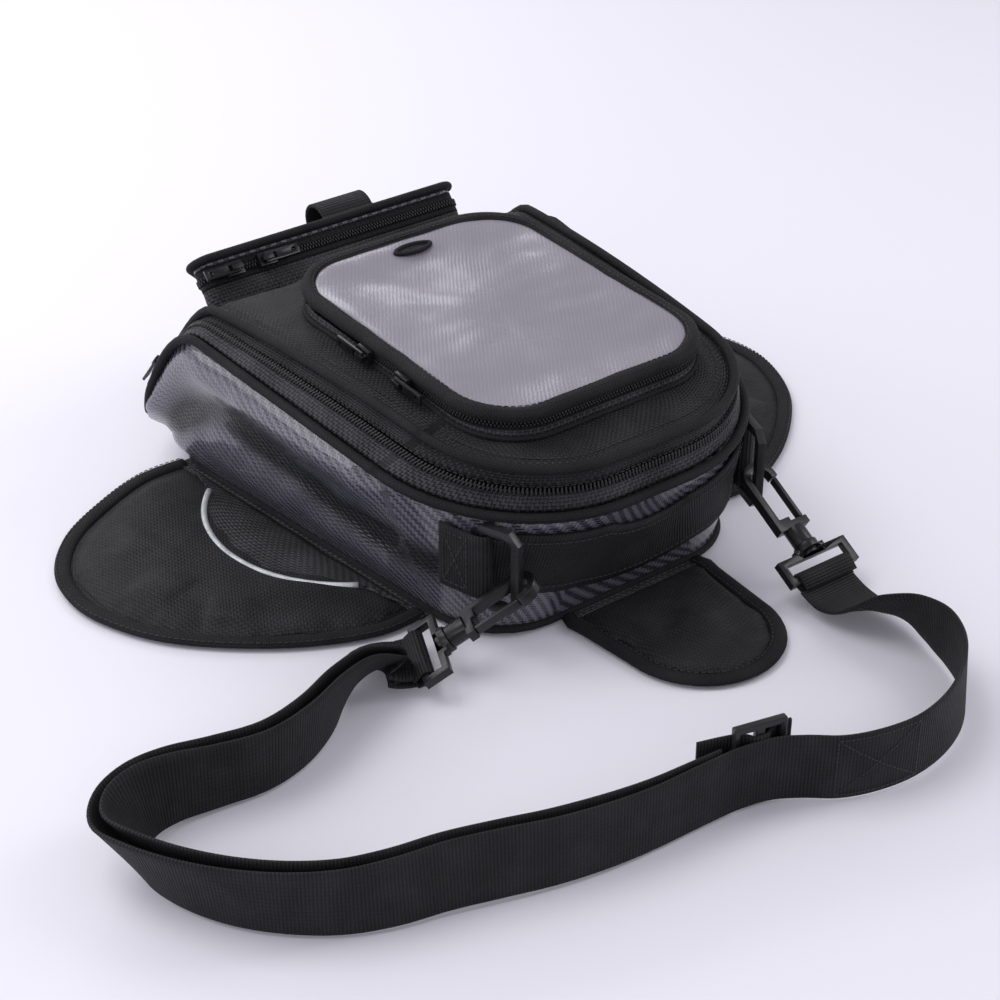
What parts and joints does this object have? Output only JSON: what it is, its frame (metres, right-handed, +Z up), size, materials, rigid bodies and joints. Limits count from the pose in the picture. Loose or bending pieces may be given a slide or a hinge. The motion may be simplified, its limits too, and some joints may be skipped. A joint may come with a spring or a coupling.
{
  "type": "motorcycle tank bag",
  "caption": "Soft magnetic motorcycle tank bag with a zipped lid, a clear map pocket, a rear pouch, fold-out side wings, a front flap and a clip-on shoulder strap.",
  "frame": {"origin": "centre of the base panel, on the face that rests on the tank", "axes": "+Z up, +Y towards the pouch end, -Y towards the end where the strap clips on"},
  "size_m": [0.5703, 0.5297, 0.1349],
  "materials": {
    "woven_fabric": "matt woven polyester",
    "carbon_wall": "glossy twill-embossed coated sheet",
    "foam": "closed-cell foam",
    "board": "stiffening board",
    "binding": "matt woven tape",
    "zip_tape": "zip tape and nylon coil",
    "webbing": "ribbed polyester webbing",
    "moulded_plastic": "satin moulded acetal",
    "zip_metal": "black enamelled zinc",
    "clear_film": "clear soft film",
    "pouch_panel": "glossy embossed cover fabric",
    "reflective": "retro-reflective piping",
    "magnets": "coated magnet discs"
  },
  "bodies": {
    "bag_body": {"base_panel": "woven_fabric", "base_board": "board", "side_wall": "carbon_wall", "wall_foam": "foam", "body_piping": "binding", "body_zip_tape": "zip_tape", "hinge_seam": "binding", "front_band": "webbing", "ring_tab_left": "webbing", "ring_tab_right": "webbing", "hook_frame_left": "moulded_plastic", "hook_frame_right": "moulded_plastic", "strap_adjuster": "moulded_plastic", "strap_main": "webbing", "strap_return": "webbing"},
    "lid": {"lid_panel": "woven_fabric", "lid_piping": "binding", "lid_zip_tape": "zip_tape", "pocket_gusset": "woven_fabric", "pocket_zip_tape": "zip_tape", "pouch_shell": "woven_fabric", "pouch_zip_tape": "zip_tape"},
    "pocket_lid": {"pocket_rim": "binding", "pocket_window": "clear_film"},
    "pouch_lid": {"pouch_cover": "pouch_panel", "pouch_piping": "binding", "handle_loop": "webbing"},
    "left_wing": {"wing_left": "woven_fabric", "wing_left_binding": "binding", "wing_left_pocket": "woven_fabric", "wing_left_piping": "reflective", "wing_left_magnets": "magnets"},
    "right_wing": {"wing_right": "woven_fabric", "wing_right_binding": "binding", "wing_right_pocket": "woven_fabric", "wing_right_piping": "reflective", "wing_right_magnets": "magnets"},
    "flap": {"front_flap": "woven_fabric", "flap_binding": "binding", "flap_magnet": "magnets"},
    "left_ring": {"ring_left": "moulded_plastic"},
    "right_ring": {"ring_right": "moulded_plastic"},
    "left_hook": {"hook_left": "moulded_plastic"},
    "right_hook": {"hook_right": "moulded_plastic"},
    "left_gate": {"hook_gate_left": "moulded_plastic"},
    "right_gate": {"hook_gate_right": "moulded_plastic"},
    "main_slider_upper_body": {"main_slider_upper": "zip_metal"},
    "main_pull_upper_body": {"main_pull_upper": "zip_metal"},
    "main_slider_lower_body": {"main_slider_lower": "zip_metal"},
    "main_pull_lower_body": {"main_pull_lower": "zip_metal"},
    "pocket_slider_rear_body": {"pocket_slider_rear": "zip_metal"},
    "pocket_pull_rear_body": {"pocket_pull_rear": "zip_metal"},
    "pocket_slider_front_body": {"pocket_slider_front": "zip_metal"},
    "pocket_pull_front_body": {"pocket_pull_front": "zip_metal"},
    "pouch_slider_outer_body": {"pouch_slider_outer": "zip_metal"},
    "pouch_pull_outer_body": {"pouch_pull_outer": "zip_metal"},
    "pouch_slider_inner_body": {"pouch_slider_inner": "zip_metal"},
    "pouch_pull_inner_body": {"pouch_pull_inner": "zip_metal"}
  },
  "joints": [
    {"name": "lid_open", "type": "hinge", "parent": "bag_body", "child": "lid", "pos_m": [0, 0.1485, 0.0395], "axis": [-1, 0, 0], "range_deg": [0, 90]},
    {"name": "pocket_open", "type": "hinge", "parent": "lid", "child": "pocket_lid", "pos_m": [0, 0.064, 0.1256], "axis": [-1, 0, 0], "range_deg": [0, 70]},
    {"name": "pouch_open", "type": "hinge", "parent": "lid", "child": "pouch_lid", "pos_m": [0, 0.16715, 0.06914], "axis": [-1, 0, 0], "range_deg": [0, 80]},
    {"name": "left_wing_fold", "type": "hinge", "parent": "bag_body", "child": "left_wing", "pos_m": [-0.097, -0.092, 0.0015], "axis": [-0.0965, 0.9953, 0], "range_deg": [-45, 35]},
    {"name": "right_wing_fold", "type": "hinge", "parent": "bag_body", "child": "right_wing", "pos_m": [0.097, -0.102, 0.0015], "axis": [-0.0965, -0.9953, 0], "range_deg": [-45, 35]},
    {"name": "flap_fold", "type": "hinge", "parent": "bag_body", "child": "flap", "pos_m": [0.005, -0.147, 0.0015], "axis": [-1, 0, 0], "range_deg": [-45, 40]},
    {"name": "left_ring_swing", "type": "hinge", "parent": "bag_body", "child": "left_ring", "pos_m": [-0.09, -0.1405, 0.052], "axis": [0, 0, 1], "range_deg": [-2.5, 2.5]},
    {"name": "right_ring_swing", "type": "hinge", "parent": "bag_body", "child": "right_ring", "pos_m": [0.09, -0.1405, 0.052], "axis": [0, 0, 1], "range_deg": [-2.5, 2.5]},
    {"name": "left_hook_swivel", "type": "hinge", "parent": "bag_body", "child": "left_hook", "pos_m": [-0.08406, -0.16111, 0.044], "axis": [-0.756, 0.3586, -0.5476], "range_deg": [-4, 4]},
    {"name": "left_gate_open", "type": "hinge", "parent": "left_hook", "child": "left_gate", "pos_m": [-0.10719, -0.1591, 0.02976], "axis": [-0.4948, 0.2347, 0.8367], "range_deg": [0, 10], "stiffness_Nm_per_rad": 0.01},
    {"name": "right_hook_swivel", "type": "hinge", "parent": "bag_body", "child": "right_hook", "pos_m": [0.0852, -0.15934, 0.044], "axis": [-0.0184, -0.8707, -0.4914], "range_deg": [-4, 4]},
    {"name": "right_gate_open", "type": "hinge", "parent": "right_hook", "child": "right_gate", "pos_m": [0.09282, -0.18215, 0.03122], "axis": [-0.0104, -0.4913, 0.8709], "range_deg": [0, 10], "stiffness_Nm_per_rad": 0.01},
    {"name": "main_slider_upper_travel", "type": "slide", "parent": "bag_body", "child": "main_slider_upper_body", "axis": [0.041, -0.6433, 0.7645], "range_m": [0, 0.008]},
    {"name": "main_pull_upper_turn", "type": "hinge", "parent": "main_slider_upper_body", "child": "main_pull_upper_body", "pos_m": [-0.12498, 0.12223, 0.0691], "axis": [0.8931, 0.3667, 0.2607], "range_deg": [0, 110]},
    {"name": "main_slider_lower_travel", "type": "slide", "parent": "bag_body", "child": "main_slider_lower_body", "axis": [-0.618, -0.6734, 0.4058], "range_m": [-0.005, 0]},
    {"name": "main_pull_lower_turn", "type": "hinge", "parent": "main_slider_lower_body", "child": "main_pull_lower_body", "pos_m": [-0.12031, 0.14125, 0.0445], "axis": [0.5307, 0.0236, 0.8473], "range_deg": [0, 110]},
    {"name": "pocket_slider_rear_travel", "type": "slide", "parent": "lid", "child": "pocket_slider_rear_body", "axis": [0, -0.9987, -0.0519], "range_m": [-0.045, 0]},
    {"name": "pocket_pull_rear_turn", "type": "hinge", "parent": "pocket_slider_rear_body", "child": "pocket_pull_rear_body", "pos_m": [-0.0854, -0.0296, 0.12208], "axis": [0, -0.0519, 0.9987], "range_deg": [0, 110]},
    {"name": "pocket_slider_front_travel", "type": "slide", "parent": "lid", "child": "pocket_slider_front_body", "axis": [0, 0.9987, 0.0519], "range_m": [-0.028, 0]},
    {"name": "pocket_pull_front_turn", "type": "hinge", "parent": "pocket_slider_front_body", "child": "pocket_pull_front_body", "pos_m": [-0.0854, -0.0604, 0.12048], "axis": [0, 0.0519, -0.9987], "range_deg": [0, 110]},
    {"name": "pouch_slider_outer_travel", "type": "slide", "parent": "lid", "child": "pouch_slider_outer_body", "axis": [1, 0, 0], "range_m": [-0.006, 0]},
    {"name": "pouch_pull_outer_turn", "type": "hinge", "parent": "pouch_slider_outer_body", "child": "pouch_pull_outer_body", "pos_m": [-0.0704, 0.11676, 0.11451], "axis": [0, 0.6691, 0.7431], "range_deg": [0, 110]},
    {"name": "pouch_slider_inner_travel", "type": "slide", "parent": "lid", "child": "pouch_slider_inner_body", "axis": [-1, 0, 0], "range_m": [-0.12, 0]},
    {"name": "pouch_pull_inner_turn", "type": "hinge", "parent": "pouch_slider_inner_body", "child": "pouch_pull_inner_body", "pos_m": [-0.0516, 0.11676, 0.11451], "axis": [0, -0.6691, -0.7431], "range_deg": [0, 110]}
  ]
}
